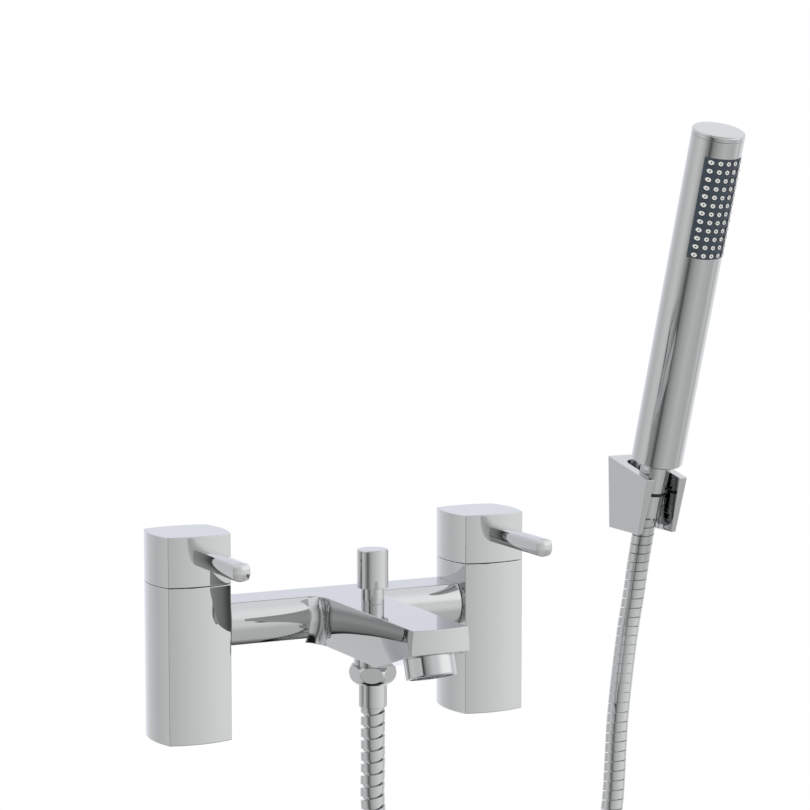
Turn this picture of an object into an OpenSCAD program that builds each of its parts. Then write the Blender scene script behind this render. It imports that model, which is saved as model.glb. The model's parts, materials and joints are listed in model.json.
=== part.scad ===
// Deck mounted bath shower mixer: two lever pillars, a bridge with a flat spout and a pull-up
// diverter, a ribbed hose, and a stick handset in a wall bracket.
// Millimetres, Z up. Origin on the deck midway between the inlets, front toward -Y.

/* [Pillars] */
// Distance between the centres of the two inlets
tap_centres = 180; // [150:1:220]
// Side of a pillar from corner edge to corner edge
pillar_side = 36.3; // [34:0.1:44]
// How far each side of a pillar bulges past its corner edges
pillar_bulge = 3.3; // [2:0.1:5]
// Height of the fixed pillar, up to the turning cap
pillar_height = 86.1; // [84:0.1:110]
// Radius of the threaded inlet under a pillar
inlet_radius = 12.05; // [8:0.05:13]
// Depth of the threaded inlet
inlet_depth = 20; // [12:0.5:28]
// Radius of the waterway above the inlet
waterway_radius = 7.8; // [5:0.1:8.5]
// Height of the seat that the valve stands on
seat_height = 40; // [34:0.5:42]
// Radius of the bore that takes the valve
valve_bore = 12.8; // [11.4:0.1:13.4]
// Height of the seal let into the base of a pillar
base_seal_height = 2; // [1:0.1:4]

/* [Handles] */
// Gap between a pillar and its turning cap
cap_gap = 0.4; // [0.3:0.05:1]
// Height of a turning cap
cap_height = 27.4; // [25:0.1:40]
// Thickness of the top of a cap
cap_top = 3; // [2:0.1:6]
// Radius of the hollow in a cap
cap_hollow = 16.2; // [15.4:0.1:17]
// Radius of the boss in a cap that takes the spindle
cap_boss = 8; // [6.5:0.1:11]
// Side of a lever from corner edge to corner edge
lever_side = 8.2; // [6:0.1:12]
// How far each side of a lever bulges
lever_bulge = 0.8; // [0.3:0.05:1.2]
// Reach of a lever's domed tip from the axis of its pillar
lever_reach = 78; // [50:0.5:90]
// Radius of the dome on a lever's tip
lever_dome = 10; // [6.8:0.1:14]
// Height of a lever's axis above the bottom of its cap
lever_rise = 16.4; // [12:0.1:18]

/* [Valves] */
// Height of the rubber seal under a valve
seat_seal_height = 3; // [2:0.1:5]
// Radius of the chamber in a valve
valve_chamber = 9.2; // [8:0.1:10]
// Thickness of one ceramic disc
disc_height = 3; // [2:0.1:4]
// Radius of a spindle
spindle_radius = 4.4; // [4:0.1:5]
// Height of the hexagon on top of a valve
valve_hex_height = 4; // [3:0.1:5]

/* [Bridge and spout] */
// Height of the flat top of the bridge and spout
bridge_top = 74.5; // [66:0.5:80]
// Height of the bridge's section
bridge_height = 23.5; // [21:0.5:30]
// Depth of the bridge at its edges
bridge_depth = 24.8; // [22:0.2:30]
// How far the front and back of the bridge bulge
bridge_bulge = 3.6; // [1:0.1:5]
// Gap that shows between the bridge and a pillar
bridge_gap = 0.3; // [0.1:0.05:0.6]
// Radius of the waterway along the bridge
bridge_bore = 7.5; // [5:0.1:8]
// Width of the spout across its bulged sides
spout_width = 34; // [30:0.5:44]
// How far each side of the spout bulges
spout_side_bulge = 1.1; // [0.3:0.1:2]
// Height of the spout's section at the bridge
spout_height = 27.3; // [25.5:0.1:32]
// Reach of the spout's tip in front of the inlets
spout_reach = 130.2; // [126:0.2:180]
// How far the tip of the spout bulges
spout_tip_bulge = 2.3; // [1:0.1:4]
// Height of the spout's tip
spout_tip_height = 13.4; // [12:0.1:16]
// Distance in front of the inlets where the underside starts to rise
slope_start = 84.6; // [70:0.2:86]
// Radius of the hollow corners between bridge and spout
corner_radius = 7.4; // [4:0.1:14]

/* [Diverter and outlet] */
// Distance of the diverter in front of the inlets
diverter_reach = 46.3; // [40:0.1:56]
// Lift of the diverter
diverter_lift = 6.5; // [4:0.1:6.5]
// Radius of the diverter's knob
knob_radius = 8.55; // [7.6:0.05:14]
// Height of the diverter's knob
knob_height = 21; // [19:0.5:30]
// Gap that shows between the spout and the knob
knob_gap = 8.9; // [8:0.1:14]
// Radius of the collar that the knob slides on
collar_radius = 6.27; // [5.9:0.05:6.8]
// Radius of the diverter's rod
rod_radius = 3; // [2:0.1:3.4]
// Radius of the thread on the shower outlet
outlet_radius = 10.4; // [10:0.05:10.8]
// Length of the shower outlet below the spout
outlet_length = 11.7; // [10:0.1:20]

/* [Aerator] */
// Distance of the aerator behind the spout's tip, on the sloped underside
aerator_setback = 15.7; // [15.2:0.1:17.2]
// Radius of the aerator's housing
aerator_radius = 13.5; // [12.5:0.1:14]
// Height of the aerator's housing below the spout
aerator_height = 10.6; // [9:0.1:16]

/* [Hose] */
// Outer radius of the hose over its ribs
hose_radius = 6.7; // [6:0.1:7]
// Radius of the hose between its ribs
hose_groove = 5.9; // [5:0.1:6.2]
// Radius of the hose's bore
hose_bore = 4; // [3:0.1:4.4]
// Distance from one rib of the hose to the next
rib_pitch = 8.1; // [8.1:0.1:14]
// Width of the hose nut across its flats
nut_flats = 23; // [22.8:0.1:25]
// Radius of the ferrule at the mixer end
ferrule_radius = 7.7; // [7:0.1:8.5]
// Length of the ferrule that shows below the nut
ferrule_length = 13; // [10:0.5:20]
// Radius of the coil at the middle of its turns
coil_radius = 67; // [67:0.5:80]
// Distance from one turn of the coil to the next
coil_pitch = 14.4; // [14.4:0.1:18]
// Thickness of the strap round the coil
tie_thickness = 1.5; // [1:0.1:3]
// Width of the strap round the coil
tie_width = 12; // [6:0.5:16]

/* [Handset] */
// Radius of the handset
handset_radius = 15.5; // [14.5:0.1:18]
// Length of the handset
handset_length = 208.3; // [190:0.1:260]
// Lean of the handset away from the wall, in degrees
handset_lean = 17.94; // [12:0.02:24]
// Wall of the handset's tube
handset_wall = 1.6; // [1.2:0.1:2]
// Thickness of the handset's end cap
end_cap_height = 3.4; // [2:0.1:6]
// Distance of the spray pad below the end cap
pad_drop = 9.6; // [8:0.1:20]
// Length of the spray pad
pad_length = 61; // [58:0.5:80]
// Half of the angle that the spray pad takes up, in degrees
pad_half_angle = 53; // [50:0.5:60]
// Rows of nozzles along the spray pad
nozzle_rows = 12; // [6:1:14]
// Nozzles in one row
nozzle_columns = 5; // [3:2:5]
// Distance from one nozzle to the next in a row
nozzle_step_across = 4.9; // [3.5:0.1:5.1]
// Distance from one row of nozzles to the next
nozzle_step = 5.1; // [3.5:0.1:5.1]

/* [Swivel and bracket] */
// Radius of the swivel nut at its top
swivel_top_radius = 9.5; // [9.2:0.05:10]
// Radius of the swivel nut at its foot
swivel_foot_radius = 8.9; // [8.7:0.05:9.2]
// Length of the swivel nut
swivel_length = 18.4; // [18:0.2:26]
// Thickness of the black ring under the swivel nut
swivel_ring = 2.2; // [1:0.1:3]
// Length of the sleeve that holds the hose's upper end
sleeve_length = 14.5; // [8:0.5:16]
// Radius of that sleeve
sleeve_radius = 8.25; // [7:0.05:8.4]
// Distance of the wall behind the inlets
wall_distance = 57.5; // [54:0.5:70]
// Half of the bracket's width at its front top edge
bracket_half_width = 14; // [13.2:0.1:18]
// Length of the bracket's front edge
bracket_length = 36.1; // [34:0.1:38]
// Distance from the handset's axis to the bracket's front face
bracket_front = 14.4; // [12:0.1:18]
// How far the bracket's back edge rises above its front edge
bracket_rise = 9.6; // [4:0.1:10]
// Half of the width of the bracket's slot at its top
slot_half_width = 8.7; // [8.5:0.05:9]
// How much each side of the slot widens down to its foot
slot_widening = 1.6; // [0:0.1:2]
// Thickness of the bracket behind the round end of its notch
notch_wall = 7; // [4:0.5:10]
// Radius of the bracket's screw hole
screw_hole = 2.6; // [2:0.1:3.2]

/* [Hidden] */
$fn = 64;
snug = 0.05; // clearance of a thread or push fit
running = 0.06; // clearance of a turning or sliding fit
seat_clearance = 0.15; // clearance of the swivel nut in the bracket
lift_clearance = 0.1; // gap between the hose and the sleeve that lifts with the handset
e = 1; // overshoot of a cut

chrome = [0.80, 0.81, 0.83];
brass = [0.72, 0.58, 0.32];
rubber = [0.10, 0.10, 0.11];
ceramic = [0.90, 0.88, 0.84];
plastic = [0.62, 0.64, 0.66];
slate = [0.27, 0.31, 0.37];

tap_x = tap_centres / 2;
bridge_middle = bridge_top - bridge_height / 2;
cap_bottom = pillar_height + cap_gap;
cap_roof = cap_bottom + cap_height - cap_top;

// valve in a pillar, from the seat up
seal_top = seat_height + seat_seal_height;
fixed_disc_top = seal_top + disc_height;
moving_disc_bottom = fixed_disc_top + running / 2;
moving_disc_top = moving_disc_bottom + disc_height;
drive_height = 5;
chamber_top = bridge_middle + bridge_bore;
valve_radius = valve_bore - snug;
spindle_ring_height = 1.6;
spindle_ring_bottom = chamber_top + 6;
valve_top = pillar_height + valve_hex_height + 2;
drive_radius = spindle_radius - 0.4;
drive_flat = drive_radius - 1;
spindle_top = cap_roof - 4;
boss_bottom = valve_top + 1;

// levers, stubs and grub screws
lever_height = cap_bottom + lever_rise;
cap_front = pillar_side / 2 + pillar_bulge;
lever_seat = 0.02; // clearance between a lever's root and the cap's bulged side
stub_radius = 3;
stub_tip = cap_hollow + 0.4;
grub_radius = 2;
grub_height = (boss_bottom + spindle_top) / 2 + 1;

// bridge, spout and diverter
bridge_arc = bulge_radius(bridge_height, bridge_bulge);
bridge_shift = bridge_arc - bridge_depth / 2 - bridge_bulge; // centre of the front's arc, past the middle
spigot_radius = bridge_bore + 2;
spigot_length = 8;
spout_bottom = bridge_top - spout_height;
tip_bottom = bridge_top - spout_tip_height;
tip_corner = spout_reach - spout_tip_bulge;
slope = atan((tip_bottom - spout_bottom) / (tip_corner - slope_start));
outlet_spigot = 3;
valve_floor = spout_bottom + outlet_spigot;
plug_height = 5;
plug_radius = 7.2;
plug_seal = 1.5;
upper_seat = valve_floor + plug_height + diverter_lift;
seat_web = 1.8;
collar_bottom = bridge_top - 5.3;
collar_thread = 5.5;
collar_top = bridge_top + knob_gap + 6.6;
knob_bottom = bridge_top + knob_gap;
knob_top = knob_bottom + knob_height;
knob_cavity_top = collar_top + diverter_lift + 0.5;
rod_top = knob_cavity_top + 3;
diverter_chamber = 8;
rear_passage = 4.5;
front_passage = 2.8;
front_passage_height = (upper_seat + seat_web + collar_bottom) / 2;
nipple_bore = 5.5;
outlet_end = spout_bottom - outlet_length;

// aerator, square to the sloped underside
aerator_reach = spout_reach - aerator_setback;
aerator_place = spout_bottom + (aerator_reach - slope_start) * tan(slope);
aerator_thread = 10.4;
aerator_thread_length = 6;
aerator_bore = 9;
aerator_washer_height = 1.5;

// hose nut and ferrule at the mixer
washer_height = 2;
flange_height = 1.5;
nut_lip = 1.5;
flange_bottom = outlet_end - washer_height - flange_height;
nut_bottom = flange_bottom - nut_lip;
nut_top = outlet_end + 5.1;
nut_middle = nut_bottom + 5.9;
nut_barrel = 7.2;
nut_crown = 13;
nut_turn = -28;
flange_radius = outlet_radius - 0.2;
hose_start = nut_bottom - ferrule_length;

// handset, its swivel and the bracket
handset_foot = [223.6, 24.15, 132.28];
handset_bore = handset_radius - handset_wall;
tube_top = handset_length - end_cap_height;
cap_seam = 0.2; // line that shows between the tube and its end cap
base_plate = 3;
pad_top = tube_top - pad_drop;
pad_bottom = pad_top - pad_length;
chamber_bottom = pad_bottom - 5.6;
chamber_roof = tube_top - 5.2;
core_radius = handset_bore - running / 3;
inlet_stub = 6.9;
inlet_bore = 4.2;
inlet_spout = 5.4;
nozzle_height = 0.9;
nozzle_radius = 1.25;
nozzle_bore = 0.5;
swivel_gap = 0.6;
swivel_foot = -swivel_gap - swivel_length;
stub_end = -13.4;
swivel_washer = 2;
swivel_flange = 2;
swivel_tail = 5;
flange_foot = stub_end - swivel_washer - swivel_flange;
sleeve_top = swivel_foot - swivel_ring;
hose_end = sleeve_top - sleeve_length;
sleeve_bore = 4;
bracket_drop = 6.35;
bracket_taper = 0.0224;
relief_radius = 10.2;
relief_top = swivel_foot - 0.5;

// route of the hose: hand chosen points, top to bottom, and a coil between the two stretches
drop_points = [
    [0, 4], [0, -14], [0, -38], [3.8, -62], [14.2, -85], [28.5, -109], [42.8, -133], [53.2, -156],
    [57, -180], [57, -186.6]
];
rise_points = [
    [222.9, 43.2, 68], [220.8, 45.4, 46], [216.6, 46, 19.6], [207.5, 40.5, -27.6], [202, 36.8, -80],
    [195.2, 36.4, -105], [183.7, 36, -130], [172.8, 35.8, -155], [169.2, 35.7, -168],
    [168, 35.7, -180], [168, 35.7, -186.6]
];
straight_end = 10.8; // straight run of the hose below the handset's sleeve
coil_centre = [112.5, -6, -200];
coil_turn = 21.9;
coil_turns = 2.5;
coil_lead = 13.4;
hose_sides = 8;
bore_rings = 6; // rings of the ribs for each ring of the bore

// step along the hose at which its gap to itself is measured
gap_step = 9;

left_pillar();
right_pillar();
left_base_seal();
right_base_seal();
left_valve_seal();
right_valve_seal();
left_valve_body();
right_valve_body();
left_fixed_disc();
right_fixed_disc();
left_moving_disc();
right_moving_disc();
left_spindle();
right_spindle();
left_spindle_ring();
right_spindle_ring();
left_cap();
right_cap();
left_lever();
right_lever();
left_grub_screw();
right_grub_screw();
bridge_body();
diverter_collar();
diverter_ring();
diverter_rod();
diverter_plug();
diverter_lower_seal();
diverter_upper_seal();
diverter_knob();
shower_outlet();
aerator_housing();
aerator_insert();
aerator_washer();
hose_nut();
hose_washer();
hose_ferrule();
hose_drop();
hose_coil();
hose_rise();
hose_tie();
hose_sleeve();
swivel_ring_seal();
swivel_nut();
swivel_washer_seal();
handset_inlet();
handset_waterway();
handset_tube();
handset_end_cap();
spray_chamber();
spray_pad();
wall_bracket();

// Shared shapes

// radius of an arc that bulges from a straight side
function bulge_radius(side, bulge) = (side * side / 4 + bulge * bulge) / (2 * bulge);

// square bar whose four sides bulge as arcs between its corner edges
module bulged_bar(side, bulge, height) {
    radius = bulge_radius(side, bulge);
    offset_out = radius - side / 2 - bulge;
    intersection() {
        translate([offset_out, 0, 0]) cylinder(r = radius, h = height);
        translate([-offset_out, 0, 0]) cylinder(r = radius, h = height);
        translate([0, offset_out, 0]) cylinder(r = radius, h = height);
        translate([0, -offset_out, 0]) cylinder(r = radius, h = height);
    }
}

// round ring or tube between two heights
module ring(outer, inner, bottom, top) {
    translate([0, 0, bottom]) difference() {
        cylinder(r = outer, h = top - bottom);
        translate([0, 0, -e]) cylinder(r = inner, h = top - bottom + 2 * e);
    }
}

// round rod between two heights
module rod(radius, bottom, top) {
    translate([0, 0, bottom]) cylinder(r = radius, h = top - bottom);
}

// half section of a disc with a rounded upper rim
module rounded_section(radius, height, edge) {
    square([radius - edge, height]);
    square([radius, height - edge]);
    translate([radius - edge, height - edge]) circle(r = edge);
}

// round bar with two flats, for a spindle's drive and its socket
module double_flat(radius, flat, bottom, top) {
    intersection() {
        rod(radius, bottom, top);
        translate([-radius - e, -flat, bottom]) cube([2 * (radius + e), 2 * flat, top - bottom]);
    }
}

// pie slice that opens toward -Y
module pie(half_angle, reach, bottom, top) {
    translate([0, 0, bottom]) linear_extrude(top - bottom)
        polygon([[0, 0], reach * [-sin(half_angle), -cos(half_angle)],
            reach * [-sin(half_angle), -1.2], reach * [sin(half_angle), -1.2],
            reach * [sin(half_angle), -cos(half_angle)]]);
}

module at_tap(side) {
    translate([side * tap_x, 0, 0]) children();
}

module at_diverter() {
    translate([0, -diverter_reach, 0]) children();
}

module at_aerator() {
    translate([0, -aerator_reach, aerator_place]) rotate([-slope, 0, 0]) children();
}

module at_handset() {
    translate(handset_foot) rotate([handset_lean, 0, 0]) children();
}

module at_coil() {
    translate(coil_centre) rotate([0, 0, coil_turn]) children();
}

// Pillars and their valves

module pillar(side) {
    color(chrome) at_tap(side) difference() {
        bulged_bar(pillar_side, pillar_bulge, pillar_height);
        rod(inlet_radius, -e, inlet_depth);
        rod(waterway_radius, inlet_depth - e, seat_height + e);
        rod(valve_bore, seat_height, pillar_height + e);
        ring(inlet_radius + 4.4, inlet_radius + 1.4, -e, base_seal_height);
        translate([0, 0, bridge_middle]) rotate([0, -side * 90, 0])
            cylinder(r = spigot_radius, h = pillar_side);
    }
}

module base_seal(side) {
    color(rubber) at_tap(side)
        ring(inlet_radius + 4.4 - snug, inlet_radius + 1.4 + snug, 0, base_seal_height);
}

module valve_seal(side) {
    color(rubber) at_tap(side) ring(valve_bore - 0.3, waterway_radius + 0.1, seat_height, seal_top);
}

module valve_body(side) {
    color(brass) at_tap(side) difference() {
        union() {
            rod(valve_radius, seal_top, pillar_height);
            translate([0, 0, pillar_height])
                cylinder(r = cap_hollow - 1.2, h = valve_hex_height, $fn = 6);
            rod(spindle_radius + 3, pillar_height, valve_top);
        }
        rod(valve_chamber, seal_top - e, chamber_top);
        rod(spindle_radius + running, chamber_top - e, valve_top + e);
        translate([0, 0, bridge_middle]) rotate([0, 90, 0])
            cylinder(r = 4.5, h = 4 * valve_bore, center = true);
    }
}

// the fixed disc has two ports, the moving disc covers or bares them
module disc(side, radius, bottom, port_turn) {
    color(ceramic) at_tap(side) difference() {
        rod(radius, bottom, bottom + disc_height);
        for (turn = [0, 180]) rotate([0, 0, turn + port_turn])
            translate([valve_chamber / 2, 0, bottom - e]) cylinder(r = 2.4, h = disc_height + 2 * e);
    }
}

module spindle(side) {
    ring_inner = spindle_radius - 1;
    color(brass) at_tap(side) difference() {
        union() {
            rod(valve_chamber - 0.3, moving_disc_top, moving_disc_top + drive_height);
            rod(spindle_radius, moving_disc_top, valve_top);
            double_flat(drive_radius, drive_flat, valve_top - e, spindle_top);
        }
        ring(spindle_radius + e, ring_inner, spindle_ring_bottom,
            spindle_ring_bottom + spindle_ring_height);
        // waterways down through the drive to the moving disc's ports
        for (turn = [90, 270]) rotate([0, 0, turn])
            translate([valve_chamber / 2 + 2, 0, moving_disc_top - e])
                cylinder(r = 2, h = drive_height + 2 * e);
    }
}

module spindle_ring(side) {
    color(rubber) at_tap(side) ring(spindle_radius, spindle_radius - 1,
        spindle_ring_bottom, spindle_ring_bottom + spindle_ring_height);
}

module cap(side) {
    color(chrome) at_tap(side) difference() {
        translate([0, 0, cap_bottom]) bulged_bar(pillar_side, pillar_bulge, cap_height);
        difference() {
            rod(cap_hollow, cap_bottom - e, cap_roof);
            rod(cap_boss, boss_bottom, cap_roof + e);
        }
        double_flat(drive_radius + snug, drive_flat + snug, boss_bottom - e, spindle_top);
        at_lever() rod(stub_radius + snug, cap_boss + e, pillar_side);
        translate([0, drive_flat - 0.2, grub_height]) rotate([-90, 0, 0])
            cylinder(r = grub_radius + snug, h = pillar_side);
    }
}

// from an axis that points out along a lever
module at_lever() {
    translate([0, 0, lever_height]) rotate([90, 0, 0]) children();
}

module lever(side) {
    dome_centre = lever_reach - lever_dome;
    color(chrome) at_tap(side) union() {
        difference() {
            at_lever() intersection() {
                translate([0, 0, stub_tip]) bulged_bar(lever_side, lever_bulge, lever_reach - stub_tip);
                union() {
                    rod(lever_dome, stub_tip - e, dome_centre);
                    translate([0, 0, dome_centre]) sphere(r = lever_dome);
                }
            }
            translate([0, 0, cap_bottom])
                bulged_bar(pillar_side + 2 * lever_seat, pillar_bulge, cap_height);
        }
        at_lever() rod(stub_radius, stub_tip, cap_front + e);
    }
}

module grub_screw(side) {
    color(brass) at_tap(side) translate([0, 0, grub_height]) rotate([-90, 0, 0]) difference() {
        rod(grub_radius, drive_flat, cap_boss + 1);
        translate([0, 0, cap_boss - 1]) cylinder(r = 1.1, h = 3, $fn = 6);
    }
}

module left_pillar() { pillar(-1); }
module right_pillar() { pillar(1); }
module left_base_seal() { base_seal(-1); }
module right_base_seal() { base_seal(1); }
module left_valve_seal() { valve_seal(-1); }
module right_valve_seal() { valve_seal(1); }
module left_valve_body() { valve_body(-1); }
module right_valve_body() { valve_body(1); }
module left_fixed_disc() { disc(-1, valve_chamber - snug, seal_top, 0); }
module right_fixed_disc() { disc(1, valve_chamber - snug, seal_top, 0); }
module left_moving_disc() { disc(-1, valve_chamber - 0.3, moving_disc_bottom, 90); }
module right_moving_disc() { disc(1, valve_chamber - 0.3, moving_disc_bottom, 90); }
module left_spindle() { spindle(-1); }
module right_spindle() { spindle(1); }
module left_spindle_ring() { spindle_ring(-1); }
module right_spindle_ring() { spindle_ring(1); }
module left_cap() { cap(-1); }
module right_cap() { cap(1); }
module left_lever() { lever(-1); }
module right_lever() { lever(1); }
module left_grub_screw() { grub_screw(-1); }
module right_grub_screw() { grub_screw(1); }

// Bridge and spout, one casting

// flat topped bar along X with bulged front and back, cut to the pillars at both ends
module bridge_bar() {
    difference() {
        translate([-tap_x, 0, bridge_middle]) intersection() {
            translate([0, bridge_shift, 0]) rotate([0, 90, 0]) cylinder(r = bridge_arc, h = tap_centres);
            translate([0, -bridge_shift, 0]) rotate([0, 90, 0]) cylinder(r = bridge_arc, h = tap_centres);
            translate([0, -bridge_depth, -bridge_height / 2])
                cube([tap_centres, 2 * bridge_depth, bridge_height]);
        }
        for (side = [-1, 1]) at_tap(side)
            bulged_bar(pillar_side + 2 * bridge_gap, pillar_bulge, pillar_height);
    }
}

// side view of the spout, with its rising underside, drawn out wider than the spout
module spout_profile() {
    translate([-spout_width, 0, 0]) rotate([90, 0, 90]) linear_extrude(2 * spout_width) polygon([
        [0, bridge_top], [0, bridge_top - bridge_height], [-bridge_depth / 2, spout_bottom],
        [-slope_start, spout_bottom], [-spout_reach, tip_bottom + spout_tip_bulge * tan(slope)],
        [-spout_reach, bridge_top]]);
}

// spout with bulged sides and a tip that bulges forward
module spout_block() {
    side_arc = bulge_radius(spout_height, spout_side_bulge);
    side_shift = side_arc - spout_width / 2;
    side_middle = (bridge_top + spout_bottom) / 2;
    tip_radius = bulge_radius(spout_width, spout_tip_bulge);
    difference() {
        intersection() {
            spout_profile();
            translate([side_shift, e, side_middle]) rotate([90, 0, 0])
                cylinder(r = side_arc, h = spout_reach + 2 * e);
            translate([-side_shift, e, side_middle]) rotate([90, 0, 0])
                cylinder(r = side_arc, h = spout_reach + 2 * e);
        }
        difference() {
            translate([-spout_width, -spout_reach - e, 0])
                cube([2 * spout_width, tip_radius / 2, bridge_top + e]);
            translate([0, tip_radius - spout_reach, -e]) cylinder(r = tip_radius, h = bridge_top + 3 * e);
        }
    }
}

// hollow corners where the spout leaves the bridge, turned about the axis of the bridge's bulged front
module spout_corners() {
    edge = (spout_width - spout_side_bulge) / 2;
    intersection() {
        translate([0, bridge_shift, bridge_middle]) for (side = [-1, 1]) rotate([0, side * 90, 0])
            rotate_extrude() translate([bridge_arc - e, edge - e]) difference() {
                square([corner_radius + e, corner_radius + e]);
                translate([corner_radius + e, corner_radius + e]) circle(r = corner_radius);
            }
        spout_profile();
    }
}

module bridge_body() {
    spigot_reach = tap_x - pillar_side / 2 - pillar_bulge + spigot_length;
    color(chrome) difference() {
        union() {
            bridge_bar();
            spout_block();
            spout_corners();
            translate([-spigot_reach, 0, bridge_middle]) rotate([0, 90, 0])
                cylinder(r = spigot_radius, h = 2 * spigot_reach);
        }
        // waterway from pillar to pillar, and forward to the diverter
        translate([-tap_x, 0, bridge_middle]) rotate([0, 90, 0])
            cylinder(r = bridge_bore, h = tap_centres);
        translate([0, 0, valve_floor + rear_passage + 1.3]) rotate([90, 0, 0])
            cylinder(r = rear_passage, h = diverter_reach);
        // diverter chambers, its seat and the threads above and below
        at_diverter() {
            rod(diverter_chamber + 1, spout_bottom - e, valve_floor);
            rod(diverter_chamber, valve_floor - e, upper_seat);
            rod(rod_radius + 2, upper_seat - e, upper_seat + seat_web + e);
            rod(diverter_chamber - 1, upper_seat + seat_web, collar_bottom);
            rod(collar_thread + snug, collar_bottom - e, bridge_top + e);
        }
        // two passages to the aerator's socket
        for (side = [-1, 1]) translate([side * 3.6, -diverter_reach, front_passage_height])
            rotate([90, 0, 0]) cylinder(r = front_passage, h = aerator_reach - diverter_reach);
        at_aerator() {
            rod(aerator_thread + snug, -e, aerator_thread_length + aerator_washer_height);
            rod(aerator_bore - 1.5, 0, aerator_thread_length + aerator_washer_height + 5);
        }
    }
}

// Diverter

module diverter_collar() {
    ring_middle = bridge_top + knob_gap / 2;
    color(chrome) at_diverter() difference() {
        union() {
            rod(collar_radius, bridge_top, collar_top);
            rod(collar_thread, collar_bottom, bridge_top + e);
        }
        rod(rod_radius + running, collar_bottom - e, collar_top + e);
        ring(rod_radius + 1.6, rod_radius, ring_middle - 1, ring_middle + 1);
    }
}

module diverter_ring() {
    ring_middle = bridge_top + knob_gap / 2;
    color(rubber) at_diverter()
        ring(rod_radius + 1.6, rod_radius + running, ring_middle - 1, ring_middle + 1);
}

module diverter_rod() {
    color(brass) at_diverter() rod(rod_radius, valve_floor + plug_height - plug_seal, rod_top);
}

// brass core between two rubber seals
module diverter_plug() {
    color(brass) at_diverter() union() {
        rod(plug_radius - 0.2, valve_floor + plug_seal, valve_floor + plug_height - plug_seal);
        rod(rod_radius, valve_floor + 0.2, valve_floor + plug_seal + 0.1);
    }
}

module diverter_lower_seal() {
    color(rubber) at_diverter() ring(plug_radius, rod_radius + snug, valve_floor, valve_floor + plug_seal);
}

module diverter_upper_seal() {
    color(rubber) at_diverter() ring(plug_radius, rod_radius + snug,
        valve_floor + plug_height - plug_seal, valve_floor + plug_height);
}

module diverter_knob() {
    color(chrome) at_diverter() difference() {
        translate([0, 0, knob_bottom]) rotate_extrude() rounded_section(knob_radius, knob_height, 0.8);
        rod(collar_radius + 0.3, knob_bottom - e, knob_cavity_top);
        rod(rod_radius + snug, knob_cavity_top - e, rod_top);
    }
}

module shower_outlet() {
    color(brass) at_diverter() difference() {
        union() {
            rod(outlet_radius, outlet_end, spout_bottom);
            rod(diverter_chamber + 1 - snug, spout_bottom - e, valve_floor);
        }
        rod(nipple_bore, outlet_end - e, valve_floor + e);
    }
}

// Aerator

module aerator_housing() {
    color(chrome) at_aerator() difference() {
        union() {
            rotate_extrude() mirror([0, 1]) rounded_section(aerator_radius, aerator_height, 0.8);
            rod(aerator_thread, -e, aerator_thread_length);
        }
        rod(aerator_bore, -aerator_height - e, aerator_thread_length + e);
        rod(aerator_radius - 1.8, -aerator_height - e, 2 - aerator_height);
    }
}

module aerator_insert() {
    rings = [2.6, 5, 7.4];
    color(plastic) at_aerator() difference() {
        rod(aerator_bore - snug, 2.5 - aerator_height, 1);
        for (index = [0 : len(rings) - 1], turn = [0 : 6 * (index + 1) - 1])
            rotate([0, 0, turn * 60 / (index + 1)]) translate([rings[index], 0, 2.5 - aerator_height - e])
                cylinder(r = 0.7, h = aerator_height + 2 * e, $fn = 16);
    }
}

module aerator_washer() {
    color(rubber) at_aerator() ring(aerator_thread, aerator_bore - 1.4, aerator_thread_length,
        aerator_thread_length + aerator_washer_height);
}

// Hose, its nut and ferrule at the mixer

// barrel shaped nut with six flats
module hose_nut() {
    centre = nut_crown - nut_barrel;
    steps = 10;
    color(chrome) at_diverter() rotate([0, 0, nut_turn]) difference() {
        intersection() {
            rotate_extrude() polygon(concat([[0, nut_bottom]],
                [for (i = [0 : steps]) let (z = nut_bottom + (nut_top - nut_bottom) * i / steps,
                    rise = z - nut_middle) [centre + sqrt(nut_barrel * nut_barrel - rise * rise), z]],
                [[0, nut_top]]));
            translate([0, 0, nut_bottom])
                cylinder(r = nut_flats / 2 / cos(30), h = nut_top - nut_bottom, $fn = 6);
        }
        rod(ferrule_radius + 0.1, nut_bottom - e, flange_bottom + e);
        rod(outlet_radius + snug, flange_bottom, nut_top + e);
    }
}

module hose_washer() {
    color(rubber) at_diverter()
        ring(flange_radius, nipple_bore, outlet_end - washer_height, outlet_end);
}

module hose_ferrule() {
    color(chrome) at_diverter() difference() {
        union() {
            rod(ferrule_radius, hose_start, flange_bottom + e);
            rod(flange_radius, flange_bottom, flange_bottom + flange_height);
        }
        rod(hose_bore + 0.5, hose_start - e, outlet_end);
    }
}

// a smooth curve through the points, and its length
function between(a, b, c, d, t) = 0.5 * (2 * b + (c - a) * t + (2 * a - 5 * b + 4 * c - d) * t * t
    + (3 * b - a - 3 * c + d) * t * t * t);
function smooth(p, steps = 12) = concat([for (i = [0 : len(p) - 2], k = [0 : steps - 1])
    between(i > 0 ? p[i - 1] : 2 * p[0] - p[1], p[i], p[i + 1],
        i < len(p) - 2 ? p[i + 2] : 2 * p[len(p) - 1] - p[len(p) - 2], k / steps)], [p[len(p) - 1]]);
function lengths(p) = [for (i = 0, s = 0; i < len(p); s = s + norm(p[min(i + 1, len(p) - 1)] - p[i]),
    i = i + 1) s];
function last(list) = list[len(list) - 1];
function unit(v) = v / norm(v);

// place on a curve at a distance from its start
function place(tables, s) = [for (axis = [0 : 2]) lookup(s, tables[axis])];
function tables(p, s) = [for (axis = [0 : 2]) [for (i = [0 : len(p) - 1]) [s[i], p[i][axis]]]];

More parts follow.
